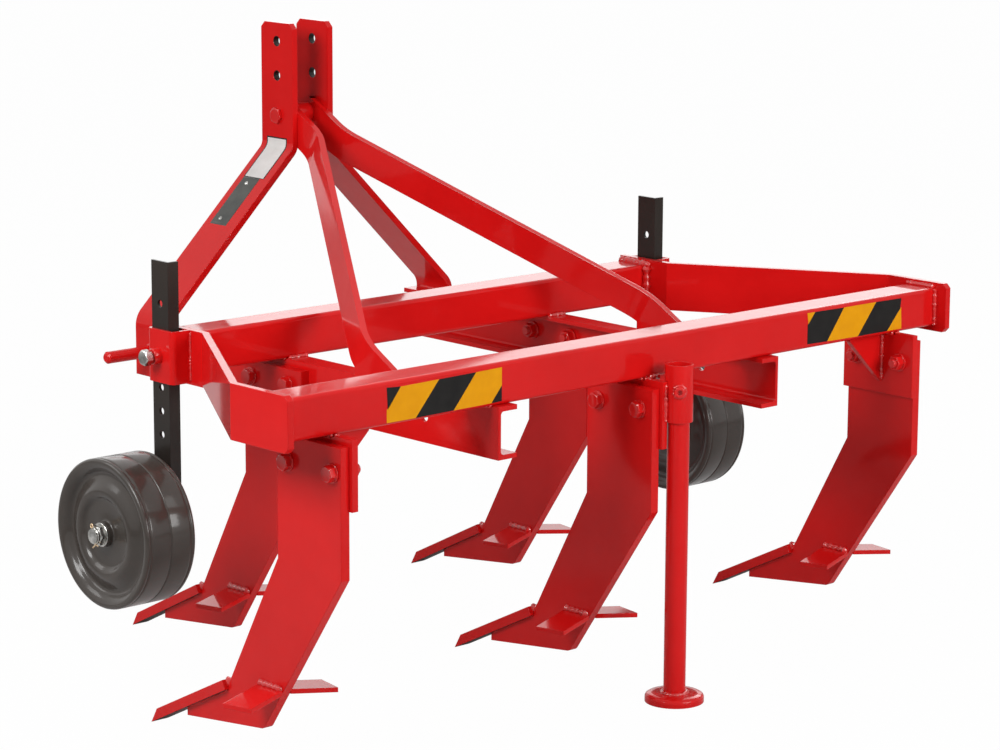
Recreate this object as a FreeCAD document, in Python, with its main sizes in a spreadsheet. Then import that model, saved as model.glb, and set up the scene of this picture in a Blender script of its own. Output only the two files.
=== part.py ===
import FreeCAD, Part
import math
import os
import Sketcher

# Subsoiler for a category 1 three-point linkage.
# Row frame: +X to the machine's right, +Y forward, +Z up, floor at Z = 0.
# Y = 0 in the spreadsheet's sizes is the rear face of the rear beam.

SIZES = [
    # frame
    ("beam_size", 70.0, "outside width and height of both square tubes"),
    ("beam_wall", 5.0, "wall of the square tubes"),
    ("beam_round", 7.0, "outside corner radius of the square tubes"),
    ("beam_base", 560.0, "height of the tubes' underside above the floor"),
    ("rear_half", 762.0, "half length of the rear tube"),
    ("front_half", 540.0, "half length of the front tube"),
    ("beam_pitch", 528.0, "rear face to rear face of the two tubes"),
    ("side_height", 90.0, "height of the side plates"),
    ("side_thick", 12.0, "thickness of the side plates"),
    ("side_front_run", 122.0, "length of a side plate's straight front end"),
    ("side_rear_bend", 115.0, "rear bend line of the side plates"),
    ("side_tail", 26.0, "side plate's reach behind the rear tube"),
    ("side_clip", 8.0, "clipped corners at a side plate's rear end"),
    # channels
    ("channel_height", 88.0, "height of the channels"),
    ("channel_flange", 41.0, "flange width of the channels"),
    ("channel_web", 6.0, "web thickness of the channels"),
    ("channel_flange_thick", 8.0, "flange thickness of the channels"),
    ("channel_half", 330.0, "mid-plane to the outside of a channel's web"),
    ("channel_tail", 13.0, "channel's reach behind the rear tube"),
    ("channel_nose", 80.0, "channel's reach past the mast's rear edge"),
    ("channel_hole", 8.5, "radius of the hole in a channel's web"),
    ("channel_hole_y", 168.0, "place of that hole along the channel"),
    # mast
    ("mast_width", 90.0, "fore-aft width of a mast bar"),
    ("mast_thick", 12.0, "thickness of a mast bar"),
    ("mast_rear", 858.0, "rear edge of the mast bars"),
    ("mast_half", 47.5, "mid-plane to the outside of the mast's head"),
    ("mast_height", 534.0, "top of the mast above the channels"),
    ("mast_head", 227.0, "length of the mast's parallel head"),
    ("mast_knee", 18.0, "lower bend line above the channels"),
    ("mast_head_round", 20.0, "inside radius of the upper bend"),
    ("mast_knee_round", 30.0, "inside radius of the lower bend"),
    ("mast_corner", 10.0, "clipped corners at the mast's top"),
    ("link_radius", 9.6, "radius of the top link pin holes"),
    ("link_first", 34.0, "upper top link hole below the mast's top"),
    ("link_pitch", 63.0, "distance between the top link holes"),
    ("mast_bolt_drop", 170.0, "mast bolt below the mast's top"),
    ("mast_bolt_radius", 9.0, "radius of the mast bolt's holes"),
    ("spacer_radius", 19.0, "outside radius of the mast spacer"),
    # braces
    ("brace_height", 58.0, "width of a brace's flat bar"),
    ("brace_thick", 12.0, "thickness of a brace bar"),
    ("brace_nose", 37.0, "end of a brace beyond the mast's bolt"),
    ("brace_high_run", 98.0, "mast's bolt to a brace's upper fold"),
    ("brace_fall_run", 564.0, "upper fold to the lower one, along the middle plane"),
    ("brace_lift", 16.0, "lower edge above the channel at the lower fold"),
    ("brace_high_fold", 90.0, "inner radius of a brace's upper fold"),
    ("brace_low_fold", 130.0, "inner radius of a brace's lower fold"),
    ("brace_toe", 14.0, "upright end of a brace's foot above the channel"),
    ("brace_lap", 15.0, "brace's foot down the channel's side"),
    # lower link pins
    ("pin_radius", 11.0, "radius of the lower link pins"),
    ("pin_reach", 100.0, "length of the lower link pins"),
    ("pin_rise", 48.0, "height of the lower link pins above the channels' base"),
    ("pin_chamfer", 4.0, "chamfer at a lower link pin's end"),
    # tines
    ("tine_thick", 17.0, "thickness of a tine"),
    ("tine_width", 156.0, "fore-aft width of a tine's shank"),
    ("tine_drop", 12.0, "top of the tines below the tubes"),
    ("tine_lead", 118.0, "front edge of the rear tines"),
    ("row_pitch", 507.0, "fore-aft distance between the tine rows"),
    ("tine_inset", 90.0, "end of the rear tube to the middle of an outer tine"),
    ("centre_offset", 4.0, "mid-plane to the centre tine"),
    ("front_knee", 345.0, "height of the knee at the front edge"),
    ("rear_knee", 336.0, "height of the knee at the rear edge"),
    ("neck_y", 131.0, "forward reach of the front edge at the point's heel"),
    ("neck_z", 108.0, "height of the front edge there"),
    ("toe_y", 242.0, "forward reach of the tine's toe"),
    ("toe_z", 31.0, "height of the tine's toe"),
    ("heel_y", 40.0, "forward reach of the tine's lower rear corner"),
    ("heel_z", 54.0, "height of that corner"),
    ("heel_round", 12.0, "radius of that corner"),
    # points
    ("point_width", 32.0, "width of a chisel point"),
    ("point_thick", 17.0, "thickness of a chisel point"),
    ("point_heel_z", 100.0, "height of the underside at the point's heel"),
    ("point_length", 201.0, "forward reach of a point past its heel"),
    ("point_bevel", 23.0, "slanted end of the point"),
    # wings
    ("wing_reach", 92.0, "reach of a wing from the tine's face"),
    ("wing_chord", 60.0, "fore-aft width of a wing"),
    ("wing_clip", 12.0, "a wing's rear corner short of its reach"),
    ("wing_thick", 8.0, "thickness of a wing"),
    ("wing_root_y", -9.0, "rear edge at the root, from the tine's lead"),
    ("wing_sweep", 24.0, "backward sweep of a wing"),
    ("wing_root_z", 128.0, "height of a wing's top at the root"),
    ("wing_droop", 10.0, "drop of a wing over its reach"),
    # tine holders
    ("holder_thick", 12.0, "thickness of a tine holder"),
    ("holder_height", 115.0, "height of a tine holder"),
    ("holder_width", 165.0, "fore-aft width of a tine holder"),
    ("holder_nose", 2.0, "holder's reach in front of its tine"),
    ("gusset_reach", 86.0, "sideways reach of a holder's gusset"),
    ("gusset_drop", 94.0, "depth of a holder's gusset"),
    ("gusset_nose", 10.0, "blunt end of a holder's gusset"),
    ("gusset_thick", 10.0, "thickness of a holder's gusset"),
    # parking stand
    ("stand_y", -48.0, "fore-aft place of the parking stand"),
    ("stand_radius", 19.0, "outside radius of the stand's tube"),
    ("stand_wall", 3.5, "wall of the stand's tube"),
    ("stand_recess", 12.0, "top of the stand's tube below its sleeve's"),
    ("sleeve_gap", 0.5, "play between the stand's tube and its sleeve"),
    ("sleeve_wall", 4.7, "wall of the stand's sleeve"),
    ("sleeve_drop", 70.0, "lower end of the stand's sleeve below the tubes"),
    ("sleeve_length", 98.0, "length of the stand's sleeve"),
    ("foot_radius", 51.0, "radius of the stand's foot"),
    ("foot_rim", 7.0, "height of the foot's rim"),
    ("foot_crown", 11.0, "height of the foot at the tube"),
    # gauge wheels
    ("leg_room", 8.7, "side plate's face to a wheel leg"),
    ("leg_depth", 22.0, "sideways size of a wheel leg"),
    ("leg_width", 45.0, "fore-aft size of a wheel leg"),
    ("leg_wall", 5.0, "wall of a wheel leg"),
    ("leg_nose", 26.0, "front of a wheel leg behind the side plate's front"),
    ("leg_tail", 33.0, "lower end of a wheel leg below its axle"),
    ("leg_above", 160.0, "upper end of a wheel leg above its clamp's bolt"),
    ("leg_hole", 6.5, "radius of the holes in a wheel leg"),
    ("leg_hole_high", 88.0, "upper hole above the clamp's bolt"),
    ("leg_hole_low", 55.0, "first lower hole below the clamp's bolt"),
    ("leg_hole_pitch", 40.5, "distance between the lower holes"),
    ("clamp_thick", 6.0, "thickness of a leg clamp"),
    ("clamp_gap", 0.3, "play between a leg and its clamp"),
    ("clamp_slack", 12.0, "room behind a leg in its clamp"),
    ("clamp_round", 9.0, "outside corner radius of a leg clamp"),
    ("axle_z", 307.0, "height of a wheel's axle"),
    ("axle_radius", 12.5, "radius of a wheel's axle"),
    ("axle_nose", 18.0, "axle's reach past the wheel"),
    ("axle_gap", 0.05, "running clearance of a wheel's bore"),
    ("collar_radius", 17.0, "radius of the axle's collar"),
    ("collar_gap", 1.0, "side play between the collar and the hub"),
    ("wheel_radius", 128.0, "radius of a gauge wheel"),
    ("wheel_offset", 27.5, "leg to a wheel's inner face"),
    ("wheel_width", 101.0, "width of a gauge wheel"),
    ("wheel_skin", 4.0, "thickness of a wheel's pressed halves"),
    ("wheel_edge", 5.0, "rounded edge of the tread"),
    ("wheel_rim", 123.0, "outer radius of a wheel's faces"),
    ("wheel_groove", 103.0, "radius of the groove in a wheel's faces"),
    ("groove_depth", 16.0, "depth of that groove"),
    ("wheel_crown", 66.0, "radius of the ring round a wheel's centre"),
    ("crown_depth", 3.0, "ring's depth in the wheel's face"),
    ("centre_depth", 11.0, "centre disc's depth in the wheel's face"),
    ("hub_radius", 21.0, "outside radius of a wheel's hub"),
    ("hub_depth", 1.0, "hub's ends behind the wheel's faces"),
]
LOWER_HOLES = 3
TOLERANCE = 1e-4

doc = FreeCAD.newDocument("Subsoiler")
sheet = doc.addObject("Spreadsheet::Sheet", "Sizes")


class Size:
    """A number together with the spreadsheet expression that gives it."""

    def __init__(self, value, text):
        self.value = value
        self.text = text

    def __add__(self, other):
        other = as_size(other)
        return Size(self.value + other.value, "(%s + %s)" % (self.text, other.text))

    def __sub__(self, other):
        other = as_size(other)
        return Size(self.value - other.value, "(%s - %s)" % (self.text, other.text))

    def __mul__(self, other):
        other = as_size(other)
        return Size(self.value * other.value, "(%s * %s)" % (self.text, other.text))

    def __truediv__(self, other):
        other = as_size(other)
        return Size(self.value / other.value, "(%s / %s)" % (self.text, other.text))

    def __neg__(self):
        return Size(-self.value, "(0 - %s)" % self.text)


def as_size(number):
    if isinstance(number, Size):
        return number
    return Size(float(number), "%g" % number)


def half_angle_tangent(rise, run):
    """Tangent of half the angle whose tangent is rise / run."""
    ratio = rise / run
    value = math.tan(math.atan(ratio.value) / 2)
    return Size(value, "tan(atan(%s) / 2)" % ratio.text)


def cosine_of(rise, run):
    """Cosine of the angle whose tangent is rise / run."""
    ratio = rise / run
    return Size(math.cos(math.atan(ratio.value)), "cos(atan(%s))" % ratio.text)


def hypotenuse(side, other):
    value = math.hypot(side.value, other.value)
    return Size(value, "sqrt(%s ^ 2 + %s ^ 2)" % (side.text, other.text))


def arcsine(side, slant):
    """Angle in degrees whose sine is side / slant."""
    ratio = side / slant
    return Size(math.degrees(math.asin(ratio.value)), "asin(%s)" % ratio.text)


def arctangent(rise, run):
    """Angle in degrees whose tangent is rise / run."""
    ratio = rise / run
    return Size(math.degrees(math.atan(ratio.value)), "atan(%s)" % ratio.text)


def sine(angle):
    return Size(math.sin(math.radians(angle.value)), "sin(%s)" % angle.text)


def cosine(angle):
    return Size(math.cos(math.radians(angle.value)), "cos(%s)" % angle.text)


class Sizes:
    """The spreadsheet's cells by name."""


size = Sizes()
for row, (alias, number, note) in enumerate(SIZES, start=1):
    sheet.set("A%d" % row, alias)
    sheet.set("B%d" % row, "%g" % number)
    sheet.set("C%d" % row, note)
    sheet.setAlias("B%d" % row, alias)
    setattr(size, alias, Size(number, "Sizes.%s" % alias))
doc.recompute()

ROLES = {"XY": "XY_Plane", "XZ": "XZ_Plane", "YZ": "YZ_Plane"}
NORMALS = {"XY": (0, 0, 1), "XZ": (0, -1, 0), "YZ": (1, 0, 0)}
AXES = {"XY": (0, 1), "XZ": (0, 2), "YZ": (1, 2)}
bodies = []


def new_body(label):
    body = doc.addObject("PartDesign::Body", "Body_" + label)
    body.Label = label
    bodies.append(body)
    return body


def new_sketch(body, plane, along, shift=(0, 0)):
    """Sketch on a plane of the body's own origin, moved along its normal."""
    sketch = body.newObject("Sketcher::SketchObject", "Sketch")
    origin = [item for item in body.Origin.OriginFeatures if item.Role == ROLES[plane]][0]
    sketch.AttachmentSupport = [(origin, "")]
    sketch.MapMode = "FlatFace"
    offsets = (as_size(shift[0]), as_size(shift[1]), as_size(along))
    base = FreeCAD.Vector(*[item.value for item in offsets])
    sketch.AttachmentOffset = FreeCAD.Placement(base, FreeCAD.Rotation())
    for name, item in zip("xyz", offsets):
        if "Sizes" in item.text:
            sketch.setExpression("AttachmentOffset.Base." + name, item.text)
    return sketch


def tilt(sketch, angle):
    """Turns a level sketch about its own first axis, and gives its frame."""
    turn = FreeCAD.Rotation(FreeCAD.Vector(1, 0, 0), angle.value)
    sketch.AttachmentOffset = FreeCAD.Placement(sketch.AttachmentOffset.Base, turn)
    sketch.setExpression("AttachmentOffset.Rotation.Angle", angle.text)
    doc.recompute()
    return sketch.Placement


def add_dimension(sketch, kind, args, item):
    index = sketch.addConstraint(Sketcher.Constraint(kind, *args, item.value))
    if "Sizes" in item.text:
        sketch.setExpression("Constraints[%d]" % index, item.text)


def add_polygon(sketch, points):
    """Closed polygon with every corner dimensioned from the sketch's origin."""
    corners = [(as_size(u), as_size(v)) for u, v in points]
    vectors = [FreeCAD.Vector(u.value, v.value, 0) for u, v in corners]
    first = sketch.GeometryCount
    count = len(corners)
    for number in range(count):
        line = Part.LineSegment(vectors[number], vectors[(number + 1) % count])
        sketch.addGeometry(line, False)
    for number in range(count):
        follower = first + (number + 1) % count
        link = Sketcher.Constraint("Coincident", first + number, 2, follower, 1)
        sketch.addConstraint(link)
    for number, (u, v) in enumerate(corners):
        add_dimension(sketch, "DistanceX", (-1, 1, first + number, 1), u)
        add_dimension(sketch, "DistanceY", (-1, 1, first + number, 1), v)


def add_circle(sketch, u, v, radius):
    u, v, radius = as_size(u), as_size(v), as_size(radius)
    centre = FreeCAD.Vector(u.value, v.value, 0)
    circle = Part.Circle(centre, FreeCAD.Vector(0, 0, 1), radius.value)
    index = sketch.addGeometry(circle, False)
    add_dimension(sketch, "DistanceX", (-1, 1, index, 3), u)
    add_dimension(sketch, "DistanceY", (-1, 1, index, 3), v)
    add_dimension(sketch, "Radius", (index,), radius)


def bind(feature, name, item):
    item = as_size(item)
    setattr(feature, name, item.value)
    if "Sizes" in item.text:
        feature.setExpression(name, item.text)


def pad(body, plane, loops, start, length):
    """Prism that starts at start along the plane's normal."""
    sketch = new_sketch(body, plane, start)
    for loop in loops:
        add_polygon(sketch, loop)
    feature = body.newObject("PartDesign::Pad", "Pad")
    feature.Profile = sketch
    bind(feature, "Length", length)
    body.Tip = feature
    doc.recompute()
    return feature


def edges_at(feature, plane, corners, frame):
    """Names of the edges that run along the plane's normal at the corners."""
    first, second = AXES[plane]
    normal = FreeCAD.Vector(*NORMALS[plane])
    back = frame.inverse()
    names = []
    for number, edge in enumerate(feature.Shape.Edges, start=1):
        ends = [back.multVec(vertex.Point) for vertex in edge.Vertexes]
        if len(ends) != 2 or abs((ends[1] - ends[0]).normalize().dot(normal)) < 1 - TOLERANCE:
            continue
        for u, v in corners:
            gap = math.hypot(ends[0][first] - as_size(u).value, ends[0][second] - as_size(v).value)
            if gap < TOLERANCE * 100:
                names.append("Edge%d" % number)
    return names


def rounded(body, plane, corners, radius, kind="Fillet", frame=FreeCAD.Placement()):
    base = body.Tip
    feature = body.newObject("PartDesign::" + kind, kind)
    feature.Base = (base, edges_at(base, plane, corners, frame))
    bind(feature, "Radius" if kind == "Fillet" else "Size", radius)
    body.Tip = feature
    doc.recompute()
    return feature


def cut_through(body, sketch):
    """Takes the sketch's outline away right through the body, both ways."""
    before = body.Shape.Volume
    feature = body.newObject("PartDesign::Pocket", "Pocket")
    feature.Profile = sketch
    feature.Type = 1
    feature.Midplane = True
    body.Tip = feature
    doc.recompute()
    if not body.Shape.Volume < before:
        raise RuntimeError("nothing was cut from " + body.Label)
    return feature


def drill(body, plane, along, centres, radius):
    """Round holes right through the body along the plane's normal."""
    sketch = new_sketch(body, plane, along)
    for u, v in centres:
        add_circle(sketch, u, v, radius)
    return cut_through(body, sketch)


def revolve(body, plane, along, shift, points, axis):
    sketch = new_sketch(body, plane, along, shift)
    add_polygon(sketch, points)
    feature = body.newObject("PartDesign::Revolution", "Revolution")
    feature.Profile = sketch
    feature.ReferenceAxis = (sketch, [axis])
    feature.Angle = 360
    body.Tip = feature
    doc.recompute()
    return feature


def strip(path, thickness, side):
    """Closed outline of a bent strip: path is one face, the other lies towards side."""
    run_out = path[2][0] - path[1][0]
    run_along = path[1][1] - path[2][1]
    shift = thickness * half_angle_tangent(run_out, run_along)
    other = []
    for number, (u, v) in enumerate(path):
        lift = shift * side if number in (1, 2) else as_size(0)
        other.append((u + thickness * side, v + lift))
    return list(path) + other[::-1]


def mirrored(points, sign):
    return [(as_size(u) * sign, v) for u, v in points]


def square(centre_u, centre_v, half):
    return [
        (centre_u - half, centre_v - half),
        (centre_u + half, centre_v - half),
        (centre_u + half, centre_v + half),
        (centre_u - half, centre_v + half),
    ]


beam_mid = size.beam_base + size.beam_size / 2
sides = (("left", -1), ("right", 1))


# ---- square tubes ----
def make_beam(label, rear, half):
    body = new_body(label)
    centre = rear + size.beam_size / 2
    outside = square(centre, beam_mid, size.beam_size / 2)
    inside = square(centre, beam_mid, size.beam_size / 2 - size.beam_wall)
    pad(body, "YZ", [outside, inside], -half, half * 2)
    rounded(body, "YZ", outside, size.beam_round)
    rounded(body, "YZ", inside, size.beam_round - size.beam_wall)


make_beam("rear_beam", as_size(0), size.rear_half)
make_beam("front_beam", size.beam_pitch, size.front_half)

# ---- side plates ----
side_out_front = size.front_half + size.side_thick
side_out_rear = size.rear_half + size.side_thick
side_front = size.beam_pitch + size.beam_size
side_path = [
    (side_out_front, side_front),
    (side_out_front, side_front - size.side_front_run),
    (side_out_rear, size.side_rear_bend),
    (side_out_rear, -size.side_tail),
]
side_base = beam_mid - size.side_height / 2
for name, sign in sides:
    body = new_body("side_plate_" + name)
    outline = strip(side_path, size.side_thick, -1)
    pad(body, "XY", [mirrored(outline, sign)], side_base, size.side_height)
    corners = [(-size.side_tail, side_base), (-size.side_tail, side_base + size.side_height)]
    rounded(body, "YZ", corners, size.side_clip, "Chamfer")

# ---- channels under the tubes ----
channel_front = size.mast_rear + size.channel_nose
for name, sign in sides:
    body = new_body("channel_" + name)
    outer = size.channel_half
    inner = outer - size.channel_flange
    top = size.beam_base
    base = top - size.channel_height
    web = outer - size.channel_web
    profile = [
        (outer, base),
        (outer, top),
        (inner, top),
        (inner, top - size.channel_flange_thick),
        (web, top - size.channel_flange_thick),
        (web, base + size.channel_flange_thick),
        (inner, base + size.channel_flange_thick),
        (inner, base),
    ]
    length = channel_front + size.channel_tail
    pad(body, "XZ", [mirrored(profile, sign)], -channel_front, length)
    rounded(body, "XZ", mirrored([profile[4], profile[5]], sign), size.channel_web)
    middle = top - size.channel_height / 2
    drill(body, "YZ", outer * sign, [(size.channel_hole_y, middle)], size.channel_hole)

# ---- mast ----
mast_foot = size.beam_base - size.channel_height
mast_wide = size.channel_half + size.mast_thick
mast_mid = size.mast_rear + size.mast_width / 2
mast_top = size.beam_base + size.mast_height
bolt_z = mast_top - size.mast_bolt_drop
mast_path = [
    (size.mast_half, mast_top),
    (size.mast_half, mast_top - size.mast_head),
    (mast_wide, size.beam_base + size.mast_knee),
    (mast_wide, mast_foot),
]
mast_outline = strip(mast_path, size.mast_thick, -1)
for name, sign in sides:
    body = new_body("mast_bar_" + name)
    points = mirrored(mast_outline, sign)
    pad(body, "XZ", [points], -(size.mast_rear + size.mast_width), size.mast_width)
    rounded(body, "XZ", [points[1]], size.mast_head_round)
    rounded(body, "XZ", [points[6]], size.mast_head_round + size.mast_thick)
    rounded(body, "XZ", [points[5]], size.mast_knee_round)
    rounded(body, "XZ", [points[2]], size.mast_knee_round + size.mast_thick)
    top_edges = [(size.mast_rear, mast_top), (size.mast_rear + size.mast_width, mast_top)]
    rounded(body, "YZ", top_edges, size.mast_corner, "Chamfer")
    face = size.mast_half * sign
    high_link = mast_top - size.link_first
    holes = [(mast_mid, high_link), (mast_mid, high_link - size.link_pitch)]
    drill(body, "YZ", face, holes, size.link_radius)
    drill(body, "YZ", face, [(mast_mid, bolt_z)], size.mast_bolt_radius)

# ---- braces from the mast's head to the channels ----
# Flat bars folded square to their own length, so they lean between the folds.
# A foot is wider than its bar and ends upright in front.
brace_wide = size.channel_half + size.brace_thick
brace_narrow = size.mast_half - size.mast_thick
half_bar = size.brace_height / 2
high_fold = -size.brace_high_run
low_fold = high_fold - size.brace_fall_run
drop = bolt_z - size.beam_base
slant = hypotenuse(low_fold, half_bar)
brace_slope = arcsine(drop - size.brace_lift, slant) - arctangent(half_bar, -low_fold)
level = cosine(brace_slope)
steep = sine(brace_slope)
brace_end = -(drop + size.brace_height) / steep
brace_path = [
    (brace_narrow, size.brace_nose),
    (brace_narrow, high_fold),
    (brace_wide, low_fold),
    (brace_wide, brace_end),
]
brace_outline = strip(brace_path, size.brace_thick, -1)
foot_room = size.brace_toe + size.brace_lap
deep = half_bar + foot_room
past_nose = size.brace_nose + size.brace_height
toe_run = (half_bar * level + size.brace_toe - drop) / steep
toe_y = mast_mid + toe_run * level + half_bar * steep
nose_y = mast_mid + past_nose * level + half_bar * steep
nose_z = bolt_z + past_nose * steep - half_bar * level
end_y = mast_mid + brace_end
lap_z = size.beam_base - size.brace_lap
waste_z = lap_z - drop
under_bar = [
    (end_y, lap_z),
    (toe_y, lap_z),
    (toe_y, size.beam_base + size.brace_toe),
    (nose_y, nose_z),
    (nose_y, waste_z),
    (end_y, waste_z),
]
beside_channel = [
    (as_size(0), waste_z),
    (size.channel_half, waste_z),
    (size.channel_half, size.beam_base),
    (as_size(0), size.beam_base),
]
for name, sign in sides:
    body = new_body("brace_" + name)
    sketch = new_sketch(body, "XY", bolt_z - deep * level, (0, mast_mid + deep * steep))
    tilted = tilt(sketch, brace_slope)
    points = mirrored(brace_outline, sign)
    add_polygon(sketch, points)
    bar = body.newObject("PartDesign::Pad", "Pad")
    bar.Profile = sketch
    bind(bar, "Length", size.brace_height + foot_room)
    body.Tip = bar
    doc.recompute()
    for inside, outside, fold in (
        (points[1], points[6], size.brace_high_fold),
        (points[5], points[2], size.brace_low_fold),
    ):
        rounded(body, "XY", [inside], fold, frame=tilted)
        rounded(body, "XY", [outside], fold + size.brace_thick, frame=tilted)
    sketch = new_sketch(body, "YZ", 0)
    add_polygon(sketch, under_bar)
    cut_through(body, sketch)
    sketch = new_sketch(body, "XZ", 0)
    add_polygon(sketch, mirrored(beside_channel, sign))
    cut_through(body, sketch)
    drill(body, "YZ", brace_narrow * sign, [(mast_mid, bolt_z)], size.mast_bolt_radius)

body = new_body("mast_spacer")
spacer_half = brace_narrow - size.brace_thick
spacer_outline = [
    (-spacer_half, size.mast_bolt_radius),
    (spacer_half, size.mast_bolt_radius),
    (spacer_half, size.spacer_radius),
    (-spacer_half, size.spacer_radius),
]
revolve(body, "XZ", -mast_mid, (0, bolt_z), spacer_outline, "H_Axis")

# ---- lower link pins ----
for name, sign in sides:
    body = new_body("lower_pin_" + name)
    tip = mast_wide + size.pin_reach
    outline = [
        (mast_wide, as_size(0)),
        (tip, as_size(0)),
        (tip, size.pin_radius - size.pin_chamfer),
        (tip - size.pin_chamfer, size.pin_radius),
        (mast_wide, size.pin_radius),
    ]
    pin_z = mast_foot + size.pin_rise
    revolve(body, "XZ", -mast_mid, (0, pin_z), mirrored(outline, sign), "H_Axis")

# ---- tines with their points, wings and holders ----
tine_top = size.beam_base - size.tine_drop
front_lead = size.tine_lead + size.row_pitch
front_offset = size.channel_half + size.tine_thick / 2
rear_offset = size.rear_half - size.tine_inset
TINES = [
    ("rear_left", -rear_offset, size.tine_lead),
    ("rear_centre", size.centre_offset, size.tine_lead),
    ("rear_right", rear_offset, size.tine_lead),
    ("front_left", -front_offset, front_lead),
    ("front_right", front_offset, front_lead),
]
HOLDER_SIDES = {"rear_left": 1, "rear_centre": 1, "rear_right": -1}
slope = size.point_heel_z / size.point_length
lean = cosine_of(slope, as_size(1))
rise_up = size.point_thick * lean
rise_fore = size.point_thick * lean * slope


def tine_outline(lead):
    """Side view of a tine: shank, forward sweep, toe under the point and heel."""
    rear = lead - size.tine_width
    toe_top = size.point_heel_z - (size.toe_y - size.neck_y) * slope
    return [
        (lead, tine_top),
        (lead, size.front_knee),
        (lead + size.neck_y, size.neck_z),
        (lead + size.neck_y, size.point_heel_z),
        (lead + size.toe_y, toe_top),
        (lead + size.toe_y, size.toe_z),
        (lead + size.heel_y, size.heel_z),
        (rear, size.rear_knee),
        (rear, tine_top),
    ]


def point_outline(lead):
    """Side view of a point: a bar along the tine's toe, its end cut on the slant."""
    heel_y = lead + size.neck_y
    tip_y = heel_y + size.point_length
    nose_y = tip_y - size.point_bevel + rise_fore
    return [
        (heel_y, size.point_heel_z),
        (tip_y, as_size(0)),
        (nose_y, size.point_bevel * slope + rise_up),
        (heel_y + rise_fore, size.point_heel_z + rise_up),
    ]


def make_wing(label, centre, lead, sign):
    body = new_body(label)
    near = centre + size.tine_thick / 2 * sign
    far = near + size.wing_reach * sign
    root = lead + size.wing_root_y
    clip = size.wing_clip / size.wing_reach
    plan = [
        (near, root),
        (far - size.wing_clip * sign, root - size.wing_sweep * (as_size(1) - clip)),
        (far, root - size.wing_sweep + size.wing_chord),
        (near, root + size.wing_chord),
    ]
    base = size.wing_root_z - size.wing_droop - size.wing_thick
    pad(body, "XY", [plan], base, size.wing_droop + size.wing_thick)
    tip_z = size.wing_root_z - size.wing_droop
    below = [
        (near, size.wing_root_z - size.wing_thick),
        (far, tip_z - size.wing_thick),
        (far, tip_z - size.wing_thick * 2),
        (near, tip_z - size.wing_thick * 2),
    ]
    above = [
        (near, size.wing_root_z),
        (far, tip_z),
        (far, size.wing_root_z + size.wing_thick),
        (near, size.wing_root_z + size.wing_thick),
    ]
    sketch = new_sketch(body, "XZ", -root)
    add_polygon(sketch, below)
    add_polygon(sketch, above)
    cut_through(body, sketch)


def make_holder(label, centre, lead, side):
    """Upright plate beside the tine and a gusset on its far side."""
    body = new_body(label)
    near = centre + size.tine_thick / 2 * side
    far = near + size.holder_thick * side
    tip = far + size.gusset_reach * side
    front = lead + size.holder_nose
    rear = front - size.holder_width
    top = size.beam_base
    base = top - size.holder_height
    low = near if near.value < far.value else far
    outline = [(rear, base), (front, base), (front, top), (rear, top)]
    pad(body, "YZ", [outline], low, size.holder_thick)
    beam_y = size.beam_size / 2
    gusset = [
        (far, top),
        (tip, top),
        (tip, top - size.gusset_nose),
        (far, top - size.gusset_drop),
    ]
    pad(body, "XZ", [gusset], -(beam_y + size.gusset_thick / 2), size.gusset_thick)


for name, centre, lead in TINES:
    low = centre - size.tine_thick / 2
    body = new_body("tine_" + name)
    outline = tine_outline(lead)
    pad(body, "YZ", [outline], low, size.tine_thick)
    rounded(body, "YZ", [outline[6]], size.heel_round)
    body = new_body("point_" + name)
    pad(body, "YZ", [point_outline(lead)], centre - size.point_width / 2, size.point_width)
    make_wing("wing_" + name + "_inner", centre, lead, 1)
    make_wing("wing_" + name + "_outer", centre, lead, -1)
    if name in HOLDER_SIDES:
        make_holder("holder_" + name, centre, lead, HOLDER_SIDES[name])

# ---- parking stand ----
sleeve_inside = size.stand_radius + size.sleeve_gap
sleeve_outside = sleeve_inside + size.sleeve_wall
stand_x = size.centre_offset + size.tine_thick / 2 + size.holder_thick + sleeve_outside
stand_shift = (stand_x, 0)
body = new_body("stand_sleeve")
sleeve_base = size.beam_base - size.sleeve_drop
sleeve_top = sleeve_base + size.sleeve_length
sleeve_outline = [
    (sleeve_inside, sleeve_base),
    (sleeve_outside, sleeve_base),
    (sleeve_outside, sleeve_top),
    (sleeve_inside, sleeve_top),
]
revolve(body, "XZ", -size.stand_y, stand_shift, sleeve_outline, "V_Axis")
body = new_body("parking_stand")
stand_inside = size.stand_radius - size.stand_wall
stand_top = sleeve_top - size.stand_recess
stand_outline = [
    (as_size(0), as_size(0)),
    (size.foot_radius, as_size(0)),
    (size.foot_radius, size.foot_rim),
    (size.stand_radius, size.foot_crown),
    (size.stand_radius, stand_top),
    (stand_inside, stand_top),
    (stand_inside, size.foot_crown),
    (as_size(0), size.foot_crown),
]
revolve(body, "XZ", -size.stand_y, stand_shift, stand_outline, "V_Axis")

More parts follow.
